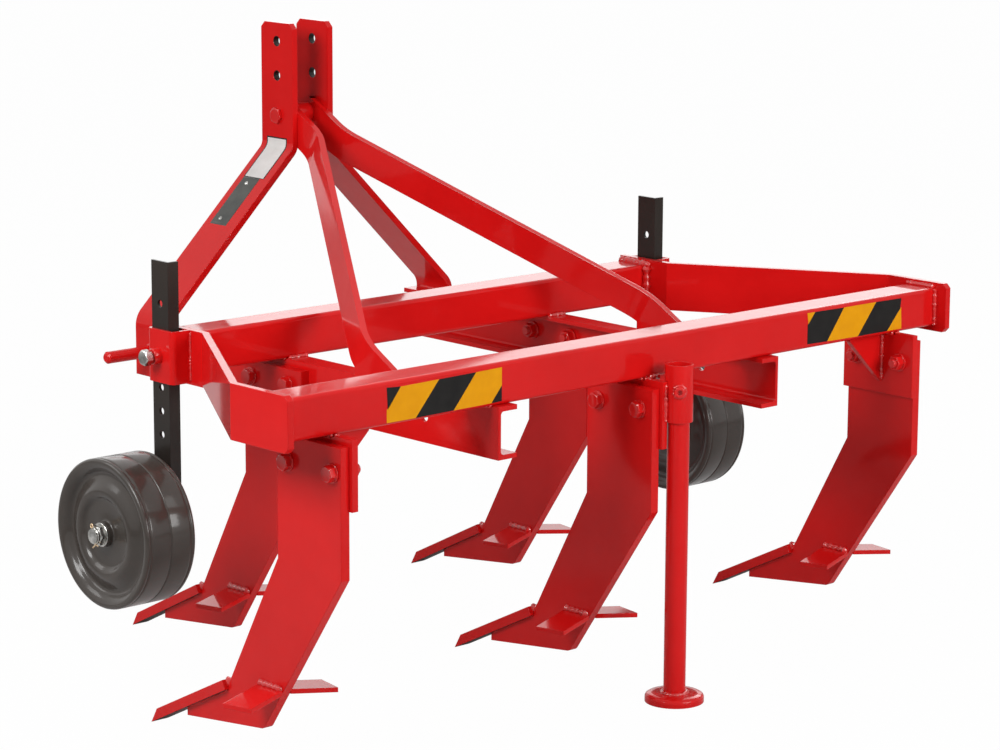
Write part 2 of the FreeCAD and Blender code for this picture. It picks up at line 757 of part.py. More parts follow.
# ---- leg clamps, legs, axles and wheels ----
leg_front = side_front - size.leg_nose
leg_rear = leg_front - size.leg_width
leg_inner = side_out_front + size.leg_room
leg_outer = leg_inner + size.leg_depth
leg_base = size.axle_z - size.leg_tail
leg_top = beam_mid + size.leg_above
leg_y = leg_rear + size.leg_width / 2
clamp_rear = leg_rear - size.clamp_slack - size.clamp_thick
clamp_front = leg_front + size.clamp_gap + size.clamp_thick
inner = leg_outer + size.wheel_offset
outer = inner + size.wheel_width
for name, sign in sides:
    body = new_body("leg_clamp_" + name)
    inside = leg_outer + size.clamp_gap
    outside = inside + size.clamp_thick
    strap = [
        (side_out_front, clamp_rear),
        (outside, clamp_rear),
        (outside, clamp_front),
        (side_out_front, clamp_front),
        (side_out_front, clamp_front - size.clamp_thick),
        (inside, clamp_front - size.clamp_thick),
        (inside, clamp_rear + size.clamp_thick),
        (side_out_front, clamp_rear + size.clamp_thick),
    ]
    pad(body, "XY", [mirrored(strap, sign)], side_base, size.side_height)
    rounded(body, "XY", mirrored(strap[1:3], sign), size.clamp_round)
    drill(body, "YZ", outside * sign, [(leg_y, beam_mid)], size.leg_hole)

    body = new_body("wheel_leg_" + name)
    low = leg_inner if sign > 0 else -leg_outer
    high = low + size.leg_depth
    angle = [
        (low, leg_rear),
        (high, leg_rear),
        (high, leg_rear + size.leg_wall),
        (low + size.leg_wall, leg_rear + size.leg_wall),
        (low + size.leg_wall, leg_front),
        (low, leg_front),
    ]
    pad(body, "XY", [angle], leg_base, leg_top - leg_base)
    heights = [-size.leg_hole_low - size.leg_hole_pitch * step for step in range(LOWER_HOLES)]
    heights += [as_size(0), size.leg_hole_high]
    drill(body, "YZ", low, [(leg_y, beam_mid + height) for height in heights], size.leg_hole)

    body = new_body("axle_" + name)
    seat = leg_inner + size.leg_wall if sign > 0 else leg_outer
    shoulder = inner + size.hub_depth - size.collar_gap
    shaft = [
        (seat, as_size(0)),
        (outer + size.axle_nose, as_size(0)),
        (outer + size.axle_nose, size.axle_radius),
        (shoulder, size.axle_radius),
        (shoulder, size.collar_radius),
        (seat, size.collar_radius),
    ]
    revolve(body, "XZ", -leg_y, (0, size.axle_z), mirrored(shaft, sign), "H_Axis")

    body = new_body("wheel_" + name)
    bore = size.axle_radius + size.axle_gap
    half_face = [
        (size.hub_depth, bore),
        (size.hub_depth, size.hub_radius),
        (size.centre_depth, size.hub_radius),
        (size.centre_depth, size.wheel_crown),
        (size.crown_depth, size.wheel_crown),
        (size.groove_depth, size.wheel_groove),
        (as_size(0), size.wheel_rim),
        (size.wheel_edge, size.wheel_radius),
    ]
    section = [(inner + depth, radius) for depth, radius in half_face]
    section += [(outer - depth, radius) for depth, radius in half_face[::-1]]
    hollow = size.groove_depth + size.wheel_skin
    rim_inside = size.wheel_radius - size.wheel_skin
    cavity = [
        (inner + hollow, size.hub_radius),
        (inner + hollow, rim_inside),
        (outer - hollow, rim_inside),
        (outer - hollow, size.hub_radius),
    ]
    sketch = new_sketch(body, "XZ", -leg_y, (0, size.axle_z))
    add_polygon(sketch, mirrored(section, sign))
    add_polygon(sketch, mirrored(cavity, sign))
    feature = body.newObject("PartDesign::Revolution", "Revolution")
    feature.Profile = sketch
    feature.ReferenceAxis = (sketch, ["H_Axis"])
    feature.Angle = 360
    body.Tip = feature
    doc.recompute()

# ---- origin under the middle of the machine ----
front_reach = front_lead + size.neck_y + size.point_length
rear_reach = size.stand_y - size.foot_radius
middle = (front_reach + rear_reach) / 2
for body in bodies:
    body.Placement.Base = FreeCAD.Vector(0, -middle.value, 0)
    body.setExpression("Placement.Base.y", (-middle).text)

# ---- checks and export ----
doc.recompute()
for item in doc.Objects:
    if "Invalid" in item.State or "Error" in item.State:
        raise RuntimeError("bad state: " + item.Label)
os.makedirs("parts", exist_ok=True)
for body in bodies:
    shape = body.Shape
    if shape.isNull() or not shape.isValid() or len(shape.Solids) != 1:
        raise RuntimeError("bad shape: " + body.Label)
    shape.exportStep("parts/%s.step" % body.Label)
    print(body.Label, round(shape.Volume), len(shape.Faces))
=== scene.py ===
"""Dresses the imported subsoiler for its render: finishes, bolts, welds, stripes, stage and camera.

Pieces are measured in millimetres, and at() turns a place into the frame's metres. What belongs to a
material, the stage, a lamp or the camera is in metres.
"""
import math

import bmesh
import bpy
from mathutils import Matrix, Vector, noise


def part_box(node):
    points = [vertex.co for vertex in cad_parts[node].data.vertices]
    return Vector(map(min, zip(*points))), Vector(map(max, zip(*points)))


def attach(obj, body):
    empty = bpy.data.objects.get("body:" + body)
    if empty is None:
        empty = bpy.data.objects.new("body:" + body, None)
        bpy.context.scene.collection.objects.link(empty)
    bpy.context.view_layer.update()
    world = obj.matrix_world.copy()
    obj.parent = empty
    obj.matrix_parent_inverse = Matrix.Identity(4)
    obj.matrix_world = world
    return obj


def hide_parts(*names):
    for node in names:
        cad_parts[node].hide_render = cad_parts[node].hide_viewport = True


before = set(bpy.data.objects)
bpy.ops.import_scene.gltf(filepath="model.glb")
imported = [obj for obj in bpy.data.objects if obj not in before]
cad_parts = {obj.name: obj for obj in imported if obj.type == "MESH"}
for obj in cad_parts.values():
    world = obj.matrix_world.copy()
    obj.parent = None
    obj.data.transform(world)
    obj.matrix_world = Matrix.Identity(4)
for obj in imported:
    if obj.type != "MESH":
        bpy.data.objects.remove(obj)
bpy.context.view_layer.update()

MM = 0.001
SIDES = (("left", -1), ("right", 1))
X, Y, Z = Vector((1, 0, 0)), Vector((0, 1, 0)), Vector((0, 0, 1))
REAR_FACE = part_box("rear_beam")[0].y

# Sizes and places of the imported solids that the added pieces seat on.
TUBE_BASE, TUBE_TOP, TUBE_WIDTH = 560, 630, 70
FRONT_BEAM = 528
HALF_TINE = 8.5
HOLDER_THICK = 12
FRONT_TINE = 338.5
NECK_REACH = 131
POINT_HEEL = 100
WING_TOP = 128
MAST_FACE = 47.5
MAST_MID, MAST_BOLT_Z = 903, 924
LOWER_PIN_Z = 520
CLAMP_BOLT_Y, CLAMP_BOLT_Z = 549.5, 595
AXLE_BORE = 12.6

# Each tine's middle and the front edge of its shank; the side of the tine that its holder is on.
TINES = {
    "rear_left": (-672, 118),
    "rear_centre": (4, 118),
    "rear_right": (672, 118),
    "front_left": (-FRONT_TINE, 625),
    "front_right": (FRONT_TINE, 625),
}
HOLDER_SIDES = {"rear_left": 1, "rear_centre": 1, "rear_right": -1}


def at(x, y, z):
    """A place in metres from mm; y is measured forward from the rear tube's rear face."""
    return Vector((x * MM, REAR_FACE + y * MM, z * MM))


def spoke(first, second, turn):
    """Direction at an angle from first towards second."""
    return first * math.cos(turn) + second * math.sin(turn)


# ---- materials ----
def node_material(name):
    material = bpy.data.materials.new(name)
    material.use_nodes = True
    nodes = material.node_tree.nodes
    return material, nodes, material.node_tree.links, nodes["Principled BSDF"]


def noise_at(nodes, links, coords, scale, detail, rough):
    tex = nodes.new("ShaderNodeTexNoise")
    tex.inputs["Scale"].default_value = scale
    tex.inputs["Detail"].default_value = detail
    tex.inputs["Roughness"].default_value = rough
    links.new(coords, tex.inputs["Vector"])
    return tex.outputs["Fac"]


def two_tone(nodes, links, value, low, dark, high, base):
    """Colour that goes from dark to base as the value goes from low to high."""
    node = nodes.new("ShaderNodeValToRGB")
    for element, place, colour in zip(node.color_ramp.elements, (low, high), (dark, base)):
        element.position = place
        element.color = tuple(colour) + (1,)
    links.new(value, node.inputs["Fac"])
    return node.outputs["Color"]


def span(nodes, links, value, low, high):
    node = nodes.new("ShaderNodeMapRange")
    node.inputs["To Min"].default_value = low
    node.inputs["To Max"].default_value = high
    links.new(value, node.inputs["Value"])
    return node.outputs["Result"]


def bump(nodes, links, height, strength, distance, normal=None):
    node = nodes.new("ShaderNodeBump")
    node.inputs["Strength"].default_value = strength
    node.inputs["Distance"].default_value = distance
    links.new(height, node.inputs["Height"])
    if normal:
        links.new(normal, node.inputs["Normal"])
    return node.outputs["Normal"]


def bevel(nodes, radius):
    """Normal that softens edges over a radius in metres."""
    node = nodes.new("ShaderNodeBevel")
    node.samples = 6
    node.inputs["Radius"].default_value = radius
    return node.outputs["Normal"]


def combine(nodes, links, operation, first, second):
    """Math node over two values, of which the second may be a plain number."""
    node = nodes.new("ShaderNodeMath")
    node.operation = operation
    links.new(first, node.inputs[0])
    if isinstance(second, float):
        node.inputs[1].default_value = second
    else:
        links.new(second, node.inputs[1])
    return node.outputs[0]


def enamel(name, base, dark, gloss, coat, coat_rough, edge, peel=0.05, coat_ior=1.25):
    """Sprayed paint: slight tone changes, orange peel, softened edges and a clear gloss."""
    material, nodes, links, shader = node_material(name)
    coords = nodes.new("ShaderNodeTexCoord").outputs["Object"]
    broad = noise_at(nodes, links, coords, 5.0, 4.0, 0.6)
    links.new(two_tone(nodes, links, broad, 0.32, dark, 0.68, base), shader.inputs["Base Color"])
    smear = noise_at(nodes, links, coords, 22.0, 5.0, 0.65)
    links.new(span(nodes, links, smear, 0.3, 0.5), shader.inputs["Roughness"])
    fine = noise_at(nodes, links, coords, 260.0, 2.0, 0.5)
    skin = bump(nodes, links, fine, peel, 0.0004, bevel(nodes, edge))
    wide = bump(nodes, links, broad, 0.05, 0.004, skin)
    links.new(wide, shader.inputs["Normal"])
    links.new(wide, shader.inputs["Coat Normal"])
    shader.inputs["Specular IOR Level"].default_value = gloss
    shader.inputs["Coat Weight"].default_value = coat
    shader.inputs["Coat IOR"].default_value = coat_ior
    clouded = span(nodes, links, smear, coat_rough * 0.6, coat_rough * 1.6)
    links.new(clouded, shader.inputs["Coat Roughness"])
    return material


def plated(name, base, dark, rough):
    """Plated steel with fine scratches and a clouded tone."""
    material, nodes, links, shader = node_material(name)
    coords = nodes.new("ShaderNodeTexCoord").outputs["Object"]
    cloud = noise_at(nodes, links, coords, 60.0, 4.0, 0.6)
    links.new(two_tone(nodes, links, cloud, 0.3, dark, 0.7, base), shader.inputs["Base Color"])
    links.new(span(nodes, links, cloud, rough * 0.7, rough * 1.4), shader.inputs["Roughness"])
    fine = noise_at(nodes, links, coords, 500.0, 3.0, 0.6)
    links.new(bump(nodes, links, fine, 0.15, 0.0003, bevel(nodes, 0.0006)), shader.inputs["Normal"])
    shader.inputs["Metallic"].default_value = 1.0
    return material


def film(name, base, dark, rough):
    """Printed or coated foil with a faint grain."""
    material, nodes, links, shader = node_material(name)
    coords = nodes.new("ShaderNodeTexCoord").outputs["Object"]
    mottle = noise_at(nodes, links, coords, 35.0, 3.0, 0.5)
    links.new(two_tone(nodes, links, mottle, 0.3, dark, 0.7, base), shader.inputs["Base Color"])
    links.new(span(nodes, links, mottle, rough * 0.8, rough * 1.2), shader.inputs["Roughness"])
    fine = noise_at(nodes, links, coords, 700.0, 2.0, 0.5)
    links.new(bump(nodes, links, fine, 0.08, 0.0002), shader.inputs["Normal"])
    shader.inputs["Specular IOR Level"].default_value = 0.12
    return material


RED = enamel(
    "red_enamel", (0.70, 0.0085, 0.0085), (0.62, 0.006, 0.006),
    gloss=0.04, coat=1.0, coat_rough=0.06, edge=0.0016,
)
WELD = enamel(
    "painted_weld", (0.70, 0.010, 0.010), (0.52, 0.006, 0.006),
    gloss=0.1, coat=1.0, coat_rough=0.08, edge=0.0005, peel=0.2, coat_ior=1.6,
)
BOLT_RED = enamel(
    "painted_bolt", (0.70, 0.009, 0.009), (0.58, 0.006, 0.006),
    gloss=0.08, coat=1.0, coat_rough=0.07, edge=0.0008, peel=0.1, coat_ior=1.45,
)
# Painted shade: near-black, uncoated colour for the sheets under the points, standing in for the shade there.
UNDERSIDE_SHADE = enamel(
    "underside_painted_shade", (0.030, 0.014, 0.010), (0.012, 0.007, 0.005),
    gloss=0.04, coat=0.0, coat_rough=0.4, edge=0.0008,
)
LEG_BLACK = enamel(
    "leg_satin_black", (0.026, 0.019, 0.015), (0.015, 0.011, 0.009),
    gloss=0.12, coat=0.5, coat_rough=0.2, edge=0.0012, peel=0.1, coat_ior=1.4,
)
WHEEL_BLACK = enamel(
    "wheel_satin_black", (0.056, 0.045, 0.038), (0.037, 0.030, 0.025),
    gloss=0.15, coat=0.8, coat_rough=0.12, edge=0.0010, peel=0.05, coat_ior=1.4,
)
ZINC = plated("zinc_plate", (0.72, 0.71, 0.68), (0.20, 0.20, 0.19), 0.2)
YELLOW_ZINC = plated("yellow_zinc", (0.80, 0.62, 0.42), (0.62, 0.45, 0.28), 0.28)
YELLOW = film("hazard_yellow", (0.82, 0.35, 0.002), (0.76, 0.31, 0.002), 0.38)
BLACK = film("hazard_black", (0.016, 0.015, 0.014), (0.011, 0.010, 0.010), 0.4)
WHITE = film("label_white", (0.78, 0.76, 0.74), (0.70, 0.68, 0.66), 0.4)
PLATE_GREY = film("label_grey", (0.105, 0.108, 0.10), (0.075, 0.078, 0.074), 0.33)


# ---- mesh helpers ----
def finish_piece(name, bm, material, body, smooth=35):
    """Turn a bmesh into a piece that rides on a body; smooth is the sharpest smoothed angle."""
    bmesh.ops.recalc_face_normals(bm, faces=bm.faces)
    mesh = bpy.data.meshes.new(name)
    bm.to_mesh(mesh)
    bm.free()
    piece = bpy.data.objects.new(name, mesh)
    bpy.context.scene.collection.objects.link(piece)
    for item in material if isinstance(material, list) else [material]:
        mesh.materials.append(item)
    if smooth:
        mesh.shade_smooth()
        mesh.set_sharp_from_angle(angle=math.radians(smooth))
    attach(piece, body)
    return piece


def frame_of(axis):
    """An axis at unit length and two directions square to it."""
    axis = axis.normalized()
    first = axis.cross(Z if abs(axis.z) < 0.9 else X).normalized()
    return axis, first, axis.cross(first)


def bridge(bm, rings):
    """Join each ring of points to the next, which has as many."""
    for low, high in zip(rings, rings[1:]):
        for step in range(len(low)):
            after = (step + 1) % len(low)
            bm.faces.new((low[step], low[after], high[after], high[step]))


def lathe(bm, centre, axis, profile, segments=32):
    """Turn (radius, distance along the axis) pairs round the axis; radius 0 closes an end."""
    axis, first, second = frame_of(axis)
    rings = []
    for radius, along in profile:
        middle = centre + axis * along * MM
        if radius <= 0:
            rings.append([bm.verts.new(middle)])
            continue
        turns = [2 * math.pi * step / segments for step in range(segments)]
        rings.append([bm.verts.new(middle + spoke(first, second, turn) * radius * MM) for turn in turns])
    for low, high in zip(rings, rings[1:]):
        for step in range(segments):
            after = (step + 1) % segments
            corners = []
            for ring, number in ((low, step), (low, after), (high, after), (high, step)):
                corner = ring[number % len(ring)]
                if corner not in corners:
                    corners.append(corner)
            if len(corners) > 2:
                bm.faces.new(corners)


def hexagon(bm, centre, axis, across, height, turn):
    """Hex head or nut: six flats whose corners are turned off to a cone on top."""
    axis, first, second = frame_of(axis)
    flat = across / 2
    steps = 24
    rings = []
    for level in range(4):
        ring = []
        for step in range(steps):
            angle = 2 * math.pi * step / steps
            within = (angle + math.pi / 6) % (math.pi / 3) - math.pi / 6
            radius = flat / math.cos(within)
            along = 0.0 if level == 0 else height - (radius - flat) * 0.6 - height * 0.06
            if level == 2:
                radius, along = flat * 0.94, height
            if level == 3:
                radius, along = flat * 0.72, height - height * 0.036
            out = spoke(first, second, angle + turn)
            ring.append(bm.verts.new(centre + axis * along * MM + out * radius * MM))
        rings.append(ring)
    bridge(bm, rings)
    bm.faces.new(rings[-1])
    bm.faces.new(rings[0][::-1])


def washer(bm, centre, axis, inner, outer, thick):
    profile = [
        (inner, 0.0),
        (outer, 0.0),
        (outer, thick * 0.75),
        (outer - thick * 0.25, thick),
        (inner, thick),
        (inner, 0.0),
    ]
    lathe(bm, centre, axis, profile)


def bolt_head(bm, centre, axis, across, height, turn):
    """Head on its washer, standing on a face at centre."""
    thick = height * 0.28
    washer(bm, centre, axis, across * 0.2, across * 1.3 / 2, thick)
    hexagon(bm, centre + axis.normalized() * thick * MM, axis, across, height, turn)


def nut_end(bm, centre, axis, across, height, thread, stub, turn):
    """Washer and nut with the bolt's threaded end standing out."""
    thick = height * 0.28
    pitch = 1.5
    washer(bm, centre, axis, thread, across * 0.68, thick)
    hexagon(bm, centre + axis.normalized() * thick * MM, axis, across, height, turn)
    top = thick + height
    profile = [(thread, 0.5)]
    for number in range(int(stub / pitch)):
        along = top + number * pitch
        profile += [(thread, along), (thread - 0.5, along + pitch / 2)]
    end = top + stub
    profile += [(thread - 0.3, end), (thread - 1.2, end + 0.8), (0, end + 0.8)]
    lathe(bm, centre, axis, profile, 24)


def weld_bead(bm, points, radius, seed):
    """Run of overlapping weld pools along a line of points."""
    pace = radius * 0.62
    sides = 10
    path = []
    for start, end in zip(points, points[1:]):
        count = max(2, int((end - start).length / (pace * MM)))
        for step in range(count):
            path.append(start.lerp(end, step / count))
    path.append(points[-1])
    rings = []
    for number, point in enumerate(path):
        before = path[max(number - 1, 0)]
        after = path[min(number + 1, len(path) - 1)]
        first, second = frame_of(after - before)[1:]
        wobble = noise.noise(Vector((number * 0.7, seed * 3.1, 0.4)))
        ripple = 1.0 + 0.2 * math.sin(number * 2.1) + 0.34 * wobble
        if number in (0, len(path) - 1):
            ripple *= 0.35
        ring = []
        for step in range(sides):
            out = spoke(first, second, 2 * math.pi * step / sides)
            ring.append(bm.verts.new(point + out * radius * ripple * MM))
        rings.append(ring)
    bridge(bm, rings)
    bm.faces.new(rings[0][::-1])
    bm.faces.new(rings[-1])


def slab(bm, outline, lift, material=0):
    """Thin sheet over an outline of corners, its top raised by lift with a bevelled rim."""
    centre = sum(outline, Vector()) / len(outline)
    inset = lift.length * 0.8
    low = [bm.verts.new(point) for point in outline]
    high = [bm.verts.new(point + lift + (centre - point).normalized() * inset) for point in outline]
    known = set(bm.faces)
    bridge(bm, [low, high])
    bm.faces.new(high)
    bm.faces.new(low[::-1])
    for face in set(bm.faces) - known:
        face.material_index = material


# ---- CAD nodes keep their forms and get their finishes ----
for name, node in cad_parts.items():
    if name.startswith("wheel_leg"):
        finish = LEG_BLACK
    elif name.startswith("wheel_"):
        finish = WHEEL_BLACK
    elif name.startswith("axle_"):
        finish = ZINC
    else:
        finish = RED
    node.data.materials.clear()
    node.data.materials.append(finish)

# ---- hazard stripes on the rear tube: 0 is yellow and 1 is black, corners are (x, z) ----
STRIPES = {
    "hazard_label_left": [
        (1, [(-555, 621), (-526, 619), (-553, 585)]),
        (0, [(-526, 619), (-446, 620), (-495, 564), (-555, 564), (-555, 585)]),
        (1, [(-446, 620), (-367, 621), (-415, 565), (-495, 564)]),
        (0, [(-367, 621), (-311, 622), (-311, 592), (-334, 565.5), (-415, 565)]),
        (1, [(-311, 592), (-311, 566), (-334, 565.5)]),
    ],
    "hazard_label_right": [
        (0, [(417, 624), (437, 624), (420, 603)]),
        (1, [(437, 624), (513, 623), (470, 567), (418, 568), (418, 603)]),
        (0, [(513, 623), (599, 623), (552, 566), (470, 567)]),
        (1, [(599, 623), (668, 622), (666, 604), (631, 566), (552, 566)]),
        (0, [(668, 606), (670, 566), (631, 566)]),
    ],
}
FOIL_THICK = 0.35
for name, patches in STRIPES.items():
    bm = bmesh.new()
    for material, corners in patches:
        slab(bm, [at(x, -0.1, z) for x, z in corners], -Y * FOIL_THICK * MM, material)
    finish_piece(name, bm, [YELLOW, BLACK], "frame", smooth=0)

# ---- blank labels and rivets on the left mast bar ----
# The outer face's two bends across the machine and up, without their rounding.
MAST_BEND = Vector((-MAST_FACE, 0, 867.0))
LOWER_BEND = Vector((-342.0, 0, 578.0))
MAST_RUN = (LOWER_BEND - MAST_BEND).normalized()
BEND_RADIUS = 20.0
LABEL_RIM = 0.8


def on_mast(along, y, lift):
    """Place on the left mast bar's outer face, measured along it down from the head's bend."""
    angle = math.acos(-MAST_RUN.z)
    run_in = BEND_RADIUS * math.tan(angle / 2)
    if along <= -run_in:
        point, out = MAST_BEND - Z * along, -X
    elif along >= run_in:
        point, out = MAST_BEND + MAST_RUN * along, Vector((MAST_RUN.z, 0, -MAST_RUN.x))
    else:
        turn = angle * (along + run_in) / (2 * run_in)
        centre = MAST_BEND + Z * run_in - X * BEND_RADIUS
        point = centre + spoke(X, -Z, turn) * BEND_RADIUS
        out = spoke(-X, Z, turn)
    point = point + out * lift
    return at(point.x, y, point.z)


def label_on_mast(name, start, end, near, far, material, thick, steps, base):
    """Foil that follows the bar: base is the lift of its rim, and thick that of its middle."""
    bm = bmesh.new()
    rows = []
    for step in range(steps + 1):
        along = start + (end - start) * step / steps
        row = []
        for y in (near, near + LABEL_RIM, far - LABEL_RIM, far):
            rim = step in (0, steps) or y in (near, far)
            row.append(bm.verts.new(on_mast(along, y, base if rim else thick)))
        rows.append(row)
    for low, high in zip(rows, rows[1:]):
        for column in range(3):
            bm.faces.new((low[column], low[column + 1], high[column + 1], high[column]))
    finish_piece(name, bm, material, "frame")


label_on_mast("label_border", -16.5, 77, 875.5, 933.5, BLACK, 0.2, 24, 0.02)
label_on_mast("blank_label", -14, 76, 878, 931, WHITE, 0.5, 24, 0.25)
label_on_mast("blank_plate", 77, 190, 886, 932, PLATE_GREY, 0.9, 40, 0.05)
RIVET = [(4.2, 0), (4.0, 0.8), (2.9, 1.7), (1.2, 2.1), (0, 2.2)]
for number, (along, y) in enumerate(((92, 912), (176.5, 913))):
    bm = bmesh.new()
    outward = on_mast(along, y, 2) - on_mast(along, y, 1)
    lathe(bm, on_mast(along, y, 0.8), outward, RIVET, 20)
    finish_piece("plate_rivet_%d" % (number + 1), bm, ZINC, "frame")

# ---- bolts of the tines ----
# Rear tines: where the rear and the front bolt are along the machine, and their height.
REAR_BOLTS = {"rear_left": (-18, 91, 506), "rear_centre": (-8, 92, 512), "rear_right": (-14, 88, 508)}
FRONT_BOLTS_Y = (507, 608)
FRONT_BOLTS_Z = 520
CHANNEL_WEB = 324
BOLT_ACROSS = 24
for name, (rear, front, height) in REAR_BOLTS.items():
    centre, side = TINES[name][0], HOLDER_SIDES[name]
    tine_face = centre - side * HALF_TINE
    plate_face = centre + side * (HALF_TINE + HOLDER_THICK)
    bm = bmesh.new()
    for number, y in enumerate((rear, front)):
        bolt_head(bm, at(tine_face, y, height), -X * side, BOLT_ACROSS, 11, 0.3 + number)
        nut_end(bm, at(plate_face, y, height), X * side, BOLT_ACROSS, 13, 8, 5, 0.5 + number)
    finish_piece("tine_bolts_" + name, bm, BOLT_RED, "frame")

for name, sign in SIDES:
    tine_face = (FRONT_TINE + HALF_TINE) * sign
    bm = bmesh.new()
    for number, y in enumerate(FRONT_BOLTS_Y):
        bolt_head(bm, at(tine_face, y, FRONT_BOLTS_Z), X * sign, BOLT_ACROSS, 10, 0.2 + number)
        web = at(CHANNEL_WEB * sign, y, FRONT_BOLTS_Z)
        nut_end(bm, web, -X * sign, BOLT_ACROSS, 13, 8, 5, 0.4 + number)
    finish_piece("tine_bolts_front_" + name, bm, BOLT_RED, "frame")

# ---- bolt through the mast, braces and spacer ----
MAST_BOLT_ACROSS = 27
bm = bmesh.new()
hexagon(bm, at(-MAST_FACE, MAST_MID, MAST_BOLT_Z), -X, MAST_BOLT_ACROSS, 7, 0.3)
nut_end(bm, at(MAST_FACE, MAST_MID, MAST_BOLT_Z), X, MAST_BOLT_ACROSS, 14, 9, 7, 0.6)
finish_piece("mast_bolt", bm, BOLT_RED, "frame")

# ---- clamp bolts of the wheel legs, each in a boss on its clamp ----
CLAMP_BOSS = [(7, -0.5), (13.5, -0.5), (13.5, 12), (12.5, 13.5), (7, 13.5), (7, -0.5)]
CLAMP_SHANK = [(6.2, 0.0), (6.2, 22.0), (0, 22.0)]
HEAD_STANDOFF = 18.5
for name, sign in SIDES:
    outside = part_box("leg_clamp_" + name)[0 if sign < 0 else 1].x / MM
    centre = at(outside, CLAMP_BOLT_Y, CLAMP_BOLT_Z)
    bm = bmesh.new()
    lathe(bm, centre, X * sign, CLAMP_BOSS, 32)
    finish_piece("clamp_boss_" + name, bm, BOLT_RED, "frame")
    bm = bmesh.new()
    lathe(bm, centre, X * sign, CLAMP_SHANK, 24)
    head = at(outside + HEAD_STANDOFF * sign, CLAMP_BOLT_Y, CLAMP_BOLT_Z)
    hexagon(bm, head, X * sign, BOLT_ACROSS, 13, 0.35)
    finish_piece("clamp_bolt_" + name, bm, ZINC, "frame")

# ---- wheels: radius and depth behind the face, from the hub out over the rim to the tread ----
DISH = [
    (12.8, 1.2), (19.3, 1.0), (20.6, 1.5), (21.0, 2.6), (21.0, 8.6), (21.8, 10.2), (23.6, 11.0),
    (40.0, 11.2), (54.0, 11.0), (57.5, 10.4), (60.0, 8.8), (62.0, 6.4), (64.4, 4.4), (67.5, 3.3),
    (71.5, 3.0), (75.0, 3.4), (78.5, 4.8), (83.0, 7.4), (89.0, 11.2), (94.0, 14.0), (98.0, 15.6),
    (101.0, 15.9), (103.5, 15.0), (105.5, 12.6), (107.5, 9.4), (110.0, 6.2), (113.5, 3.4),
    (117.5, 1.4), (121.0, 0.5), (123.6, 0.5), (125.8, 1.5), (127.3, 3.3), (127.8, 5.6),
    (127.6, 7.6), (126.7, 8.6), (126.7, 9.4), (127.6, 10.4), (127.8, 14.0),
]
# The seam between the two halves: radius and distance from the wheel's middle.
SEAM = [(127.8, 2.6), (127.6, 1.9), (126.4, 1.0), (126.4, 0.0)]
for name, sign in SIDES:
    low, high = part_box("wheel_" + name)
    half_width = (high.x - low.x) / 2 / MM
    half = [(radius, half_width - depth) for radius, depth in DISH] + SEAM
    profile = half + [(radius, -along) for radius, along in half[-2::-1]] + [half[0]]
    bm = bmesh.new()
    lathe(bm, (low + high) / 2, X * sign, profile, 128)
    piece = finish_piece("steel_wheel_" + name, bm, WHEEL_BLACK, name + "_wheel", smooth=40)
    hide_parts("wheel_" + name)

# ---- the braces' upper ends are rounded about the mast's bolt ----
BRACE_END_RADIUS = 29
CUT_STEP = math.radians(12.5)
for name, sign in SIDES:
    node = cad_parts["brace_" + name]
    bm = bmesh.new()
    bm.from_mesh(node.data)
    bm.transform(node.matrix_world)
    ends = [face for face in bm.faces if abs(face.normal.x) < 0.1 and face.normal.y > 0.3]
    toward = max(ends, key=lambda face: face.calc_center_median().y).normal.copy()
    across = X.cross(toward).normalized()
    for step in range(-6, 7):
        out = spoke(toward, across, step * CUT_STEP)
        cut = bmesh.ops.bisect_plane(
            bm, geom=bm.verts[:] + bm.edges[:] + bm.faces[:], dist=1e-6,
            plane_co=at(0, MAST_MID, MAST_BOLT_Z) + out * BRACE_END_RADIUS * MM,
            plane_no=out, clear_outer=True,
        )
        rim = [item for item in cut["geom_cut"] if isinstance(item, bmesh.types.BMEdge)]
        if rim:
            bmesh.ops.edgeloop_fill(bm, edges=rim)
    piece = finish_piece("brace_bar_" + name, bm, RED, "frame")
    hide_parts("brace_" + name)

# ---- painted shade: dark liners inside the top link holes stand for the shade in them ----
HEAD_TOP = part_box("mast_bar_left")[1].z / MM
LINK_DROPS = (34, 97)
# Thin dark sleeve for each hole; its black is painted shade, not the bar's own colour.
HOLE_SHADE_LINER = [(9.5, 0), (9.5, 11.8), (9.0, 11.8), (9.0, 0), (9.5, 0)]
for name, sign in SIDES:
    bm = bmesh.new()
    for drop in LINK_DROPS:
        lathe(bm, at((MAST_FACE - 0.1) * sign, MAST_MID, HEAD_TOP - drop), -X * sign, HOLE_SHADE_LINER)
    finish_piece("link_hole_shade_" + name, bm, LEG_BLACK, "frame")

# ---- castle nuts and split pins on the axles; distances run outward from the hub's face ----
HUB_DEPTH = 1
WASHER_RADIUS, WASHER_THICK, WASHER_GAP = 20.5, 3.0, 0.3
CASTLE_RING = [(AXLE_BORE, -1), (14.2, 0.2), (14.2, 4.4), (13.6, 5.0), (AXLE_BORE, 5.0)]
CASTLE_SLOT = [(0, 0), (1.5, 0), (1.5, 2.2), (0, 2.2)]
AXLE_TIP = [(12.3, 8), (12.3, 17.2), (11.2, 18.6), (6.0, 18.9), (0, 18.9)]
PIN_REACH = 15.4
PIN_LEAN = Vector((0, 0.35, 1)).normalized()
PIN_SHANK = [(0, 0), (1.8, 0.4), (1.8, 31), (0, 32)]
PIN_TAIL = [(1.4, -1), (1.4, 9), (0, 10)]
WIRE_RADIUS = 1.4


